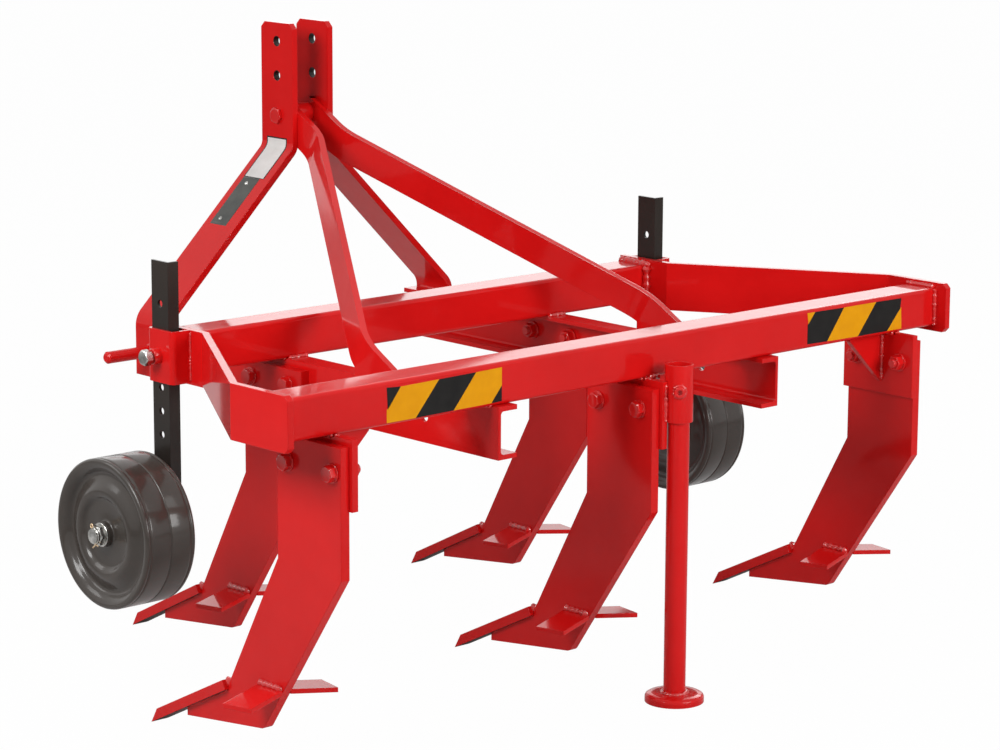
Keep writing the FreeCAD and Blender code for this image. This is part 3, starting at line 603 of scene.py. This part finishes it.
def castle_nut(name, seat, out):
    """Washer, hex nut, slotted ring and the axle's tip."""
    bm = bmesh.new()
    washer(bm, seat + out * WASHER_GAP * MM, out, AXLE_BORE, WASHER_RADIUS, WASHER_THICK)
    hexagon(bm, seat + out * (WASHER_GAP + WASHER_THICK) * MM, out, 31, 9.5, 0.5)
    lathe(bm, seat + out * 12 * MM, out, CASTLE_RING, 36)
    for number in range(6):
        away = spoke(Y, Z, number * math.pi / 3 + 0.5)
        lathe(bm, seat + out * 14.6 * MM + away * 12.4 * MM, away, CASTLE_SLOT, 10)
    lathe(bm, seat, out, AXLE_TIP, 36)
    finish_piece("axle_nut_" + name, bm, ZINC, name + "_leg")


def split_pin(name, centre, out):
    """Leaning shank through the axle, with an eye above and two spread tails below."""
    across = PIN_LEAN.cross(out).normalized()
    bm = bmesh.new()
    lathe(bm, centre - PIN_LEAN * 16 * MM, PIN_LEAN, PIN_SHANK, 14)
    eye = []
    for step in range(-2, 11):
        turn = math.pi * step / 8
        rise = PIN_LEAN * (17 + 3.4 * math.sin(turn)) * MM
        eye.append(centre + rise + across * 3.0 * math.cos(turn) * MM)
    for start, end in zip(eye, eye[1:]):
        length = (end - start).length / MM
        wire = [(0, 0), (WIRE_RADIUS, 0), (WIRE_RADIUS, length), (0, length)]
        lathe(bm, start, end - start, wire, 10)
    for side in (-1, 1):
        tail = (-PIN_LEAN * 0.5 + across * side + out * 0.25).normalized()
        lathe(bm, centre - PIN_LEAN * 14.5 * MM, tail, PIN_TAIL, 10)
    finish_piece("split_pin_" + name, bm, YELLOW_ZINC, name + "_leg")


for name, sign in SIDES:
    low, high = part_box("wheel_" + name)
    out = X * sign
    face = (high.x if sign > 0 else low.x) - HUB_DEPTH * MM * sign
    seat = Vector((face, (low.y + high.y) / 2, (low.z + high.z) / 2))
    castle_nut(name, seat, out)
    split_pin(name, seat + out * PIN_REACH * MM, out)

# ---- painted shade: a near-black sheet under each point stands for the shade on its underside ----
for name in TINES:
    low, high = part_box("point_" + name)
    tip = Vector((0, high.y, 0))
    run = Vector((0, low.y, POINT_HEEL * MM)) - tip
    down = Vector((0, -run.z, run.y)).normalized()
    corners = []
    for x, share in ((low.x, 0.02), (high.x, 0.02), (high.x, 0.98), (low.x, 0.98)):
        corners.append(tip + run * share + X * x)
    bm = bmesh.new()
    slab(bm, corners, down * 0.3 * MM)
    finish_piece("painted_shade_underside_" + name, bm, UNDERSIDE_SHADE, "frame", smooth=0)

# ---- weld beads, gathered by group and made into pieces at the end ----
FRONT_INNER, REAR_INNER = 540, 762
CHANNEL_FACE = 330
CLAMP_FACE = 552
PIN_FACE, PIN_RADIUS = 342.5, 12
UNDER = TUBE_BASE - 1
beads = {}


def bead(group, points, radius, seed):
    """Add a bead along some places in mm to its group's mesh."""
    if group not in beads:
        beads[group] = bmesh.new()
    weld_bead(beads[group], [at(*point) for point in points], radius, seed)


def side_welds(name, sign):
    """Both beams' ends on their side plate, on top and upright."""
    rear, front = REAR_INNER * sign, FRONT_INNER * sign
    group = "weld_side_" + name
    top = TUBE_TOP + 2
    bead(group, [(rear - sign, 1, top), (rear - sign, TUBE_WIDTH - 1, top)], 4.6, 1)
    bead(group, [(rear - 2 * sign, -1, TUBE_BASE), (rear - 2 * sign, -1, TUBE_TOP)], 4.8, 2)
    bead(group, [(front - 2 * sign, 514, top - 1), (front - 2 * sign, 597, top - 1)], 7.5, 3)
    bead(group, [(front - 3 * sign, 523, TUBE_BASE), (front - 3 * sign, 523, top)], 7.5, 4)


def channel_welds(name, sign):
    """A channel under both beams, and the mast bar's foot on the channel."""
    face = CHANNEL_FACE * sign
    for beam, seed in ((0, 5), (FRONT_BEAM, 6)):
        run = [(face, beam + 4, UNDER), (face, beam + TUBE_WIDTH - 4, UNDER)]
        bead("weld_channel_" + name, run, 3.4, seed)
    bead("weld_channel_" + name, [(286 * sign, 526, 561), (328 * sign, 526, 561)], 5.0, 17)
    bead("weld_mast_" + name, [(face, 857, 476), (face, 857, 556)], 3.4, 7)
    bead("weld_mast_" + name, [(face, 860, UNDER), (face, 936, UNDER)], 3.0, 8)


def pin_weld(name, sign):
    """Most of a ring round the lower link pin."""
    ring = []
    for number in range(11):
        turn = number * 0.6
        y = MAST_MID + PIN_RADIUS * math.cos(turn)
        ring.append((PIN_FACE * sign, y, LOWER_PIN_Z + PIN_RADIUS * math.sin(turn)))
    bead("weld_pin_" + name, ring, 2.6, 9)


def clamp_welds(name, sign):
    """A leg's clamp on its side plate, behind the leg and in front of it."""
    for y, seed in ((508, 10), (579, 11)):
        bead("weld_clamp_" + name, [(CLAMP_FACE * sign, y, 553), (CLAMP_FACE * sign, y, 637)], 3.0, seed)


def tine_welds(name, centre, lead):
    """Wings and point on a tine."""
    neck = lead + NECK_REACH
    group = "weld_tine_" + name
    for side in (-1, 1):
        face = centre + side * HALF_TINE
        bead(group, [(face, lead - 8, WING_TOP + 1.5), (face, lead + 50, WING_TOP + 1.5)], 6.4, 12 + side)
        bead(group, [(face, lead - 8, WING_TOP - 0.5), (face, lead + 5, WING_TOP + 0.5)], 8.2, 18 + side)
        bead(group, [(face, neck + 2, POINT_HEEL + 2), (face, neck + 106, POINT_HEEL / 2)], 3.4, 14 + side)
    bead(group, [(centre - 11, neck + 3, POINT_HEEL + 11), (centre + 11, neck + 3, POINT_HEEL + 11)], 8.0, 16)


def holder_welds(name, centre, side):
    """A tine's holder under the rear beam, and its gusset."""
    near = centre + side * HALF_TINE
    far = near + side * HOLDER_THICK
    group = "weld_holder_" + name
    for face, seed in ((near, 20), (far, 21)):
        bead(group, [(face, 2, UNDER), (face, TUBE_WIDTH - 2, UNDER)], 3.2, seed)
    bead(group, [(near, -1, UNDER - 0.5), (far, -1, UNDER - 0.5)], 4.0, 22)
    bead(group, [(far, 29, 470), (far, 29, 556)], 4.4, 23)


for name, sign in SIDES:
    side_welds(name, sign)
    channel_welds(name, sign)
    pin_weld(name, sign)
    clamp_welds(name, sign)
for name, (centre, lead) in TINES.items():
    tine_welds(name, centre, lead)
for name, side in HOLDER_SIDES.items():
    holder_welds(name, TINES[name][0], side)
bead("weld_holder_rear_centre", [(22, -2, 561), (47, -3, 561)], 5.0, 24)
bead("weld_sleeve", [(22, -42, 490), (22, -42, 558)], 5.2, 30)
for name, sign in SIDES:
    foot = (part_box("brace_" + name)[0].y - REAR_FACE) / MM
    bead("weld_brace_" + name, [(331 * sign, foot + 12, 545), (331 * sign, 332, 545)], 3.2, 40)
    bead("weld_brace_" + name, [(329 * sign, foot + 30, 561), (329 * sign, 300, 561)], 3.2, 41)
for name, bm in beads.items():
    finish_piece(name, bm, WELD, "frame", smooth=60)

# ---- the parking stand's foot: a thicker disc over the solid's, and its weld to the tube ----
low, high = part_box("parking_stand")
stand_centre = Vector(((low.x + high.x) / 2, (low.y + high.y) / 2, 0))
# Radius and height over the floor.
FOOT_DISC = [
    (19.2, 14.5), (36, 14.8), (46.5, 13.6), (49.6, 11.8), (50.9, 9.0),
    (50.9, 1.2), (50.2, 0.2), (19.2, 0.2), (19.2, 14.5),
]
bm = bmesh.new()
lathe(bm, stand_centre, Z, FOOT_DISC, 96)
finish_piece("foot_disc", bm, RED, "stand")
FOOT_WELD_RADIUS, FOOT_WELD_Z = 20.5, 15
bm = bmesh.new()
ring = []
for step in range(25):
    away = spoke(X, Y, 2 * math.pi * step / 24)
    ring.append(stand_centre + away * FOOT_WELD_RADIUS * MM + Z * FOOT_WELD_Z * MM)
weld_bead(bm, ring, 4.0, 35)
finish_piece("weld_foot", bm, WELD, "stand", smooth=60)

# ---- set screw boss on the stand's sleeve ----
BOSS_HEIGHT = 545
BOSS = [(4, 0), (9.6, 0), (9.6, 11.2), (8.4, 12.6), (4.8, 12.6), (4.1, 11.8), (4.1, 6.5), (0, 6.5)]
low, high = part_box("stand_sleeve")
BOSS_DIRECTION = Vector((-0.68, -0.73, 0))
toward = BOSS_DIRECTION.normalized()
boss_centre = Vector(((low.x + high.x) / 2, (low.y + high.y) / 2, BOSS_HEIGHT * MM))
boss_centre += toward * ((high.x - low.x) / 2 - 3 * MM)
bm = bmesh.new()
lathe(bm, boss_centre, toward, BOSS, 28)
finish_piece("sleeve_boss", bm, BOLT_RED, "frame")
bm = bmesh.new()
ring = []
for step in range(17):
    turn = 2 * math.pi * step / 16
    away = spoke(toward.cross(Z), Z, turn)
    reach = 3.4 + 0.8 * math.sin(turn) ** 2
    ring.append(boss_centre + toward * reach * MM + away * 10.4 * MM)
weld_bead(bm, ring, 2.6, 33)
finish_piece("weld_boss", bm, WELD, "frame", smooth=60)

# ---- stage: a floor that the camera sees as nearly white, and that reflections see faintly ----
floor_material, nodes, links, shader = node_material("studio_floor")
shader.inputs["Base Color"].default_value = (0.6, 0.6, 0.6, 1)
shader.inputs["Roughness"].default_value = 0.9
glow = nodes.new("ShaderNodeEmission")
glow.inputs["Strength"].default_value = 1.0
path = nodes.new("ShaderNodeLightPath")
soft = combine(nodes, links, "MULTIPLY", path.outputs["Is Glossy Ray"], 0.15)
direct = combine(nodes, links, "MAXIMUM", path.outputs["Is Camera Ray"], soft)
share = combine(nodes, links, "MULTIPLY", direct, 0.985)
blend = nodes.new("ShaderNodeMixShader")
links.new(share, blend.inputs["Fac"])
links.new(shader.outputs["BSDF"], blend.inputs[1])
links.new(glow.outputs["Emission"], blend.inputs[2])
links.new(blend.outputs["Shader"], nodes["Material Output"].inputs["Surface"])

FLOOR_HALF, FLOOR_Z = 30.0, -0.0005
corners = [(x * FLOOR_HALF, y * FLOOR_HALF, FLOOR_Z) for x, y in ((-1, -1), (1, -1), (1, 1), (-1, 1))]
mesh = bpy.data.meshes.new("floor")
mesh.from_pydata(corners, [], [(0, 1, 2, 3)])
mesh.materials.append(floor_material)
floor = bpy.data.objects.new("floor", mesh)
bpy.context.scene.collection.objects.link(floor)

# ---- world: white to the camera, to reflections and through glass, and dim as a light ----
world = bpy.data.worlds.new("studio")
bpy.context.scene.world = world
world.use_nodes = True
nodes, links = world.node_tree.nodes, world.node_tree.links
background = nodes["Background"]
background.inputs["Color"].default_value = (1, 1, 1, 1)
path = nodes.new("ShaderNodeLightPath")
seen = combine(nodes, links, "MAXIMUM", path.outputs["Is Camera Ray"], path.outputs["Is Glossy Ray"])
clear = combine(nodes, links, "MAXIMUM", seen, path.outputs["Is Transmission Ray"])
links.new(span(nodes, links, clear, 0.1, 1.0), background.inputs["Strength"])


def area_light(name, place, target, size, power):
    """Lamp at a place in metres that faces a target and that the camera doesn't see."""
    data = bpy.data.lights.new(name, "AREA")
    data.shape = "RECTANGLE"
    data.size, data.size_y = size
    data.energy = power
    lamp = bpy.data.objects.new(name, data)
    lamp.location = place
    aim = Vector(target) - Vector(place)
    lamp.rotation_euler = aim.to_track_quat("-Z", "Y").to_euler()
    lamp.visible_camera = False
    bpy.context.scene.collection.objects.link(lamp)


area_light("key_left", (-2.3, -0.3, 1.9), (-0.5, 0, 0.5), (1.0, 1.0), 40)
area_light("fill_rear", (0.6, -4.6, 2.0), (0.1, 0, 0.5), (2.5, 2.0), 128)
area_light("fill_high", (0.8, -3.2, 3.2), (0.1, 0, 0.5), (2.0, 1.5), 18)
area_light("fill_front", (-2.2, 1.6, 2.2), (-0.3, 0, 0.5), (1.2, 1.2), 16)
area_light("top", (0.2, 0.6, 4.0), (0, 0, 0.4), (3.0, 3.0), 8)
area_light("fill_right", (3.4, 1.2, 2.4), (0.2, 0, 0.5), (1.6, 1.6), 30)
area_light("backdrop", (3.6, 4.0, 1.9), (0, 0, 0.5), (4.0, 1.6), 18)

# ---- camera, fitted to the photograph; places in metres ----
camera_data = bpy.data.cameras.new("camera")
camera_data.sensor_width = 36.0
camera_data.lens = 121.555
camera_data.shift_x = -0.1007
camera_data.shift_y = 0.0253
camera = bpy.data.objects.new("camera", camera_data)
camera.location = (-3.9184, -3.9478 + REAR_FACE, 1.6841)
camera.rotation_euler = (math.radians(78.217), math.radians(-0.611), math.radians(-44.008))
bpy.context.scene.collection.objects.link(camera)
bpy.context.scene.camera = camera
bpy.context.scene.view_settings.view_transform = "Standard"
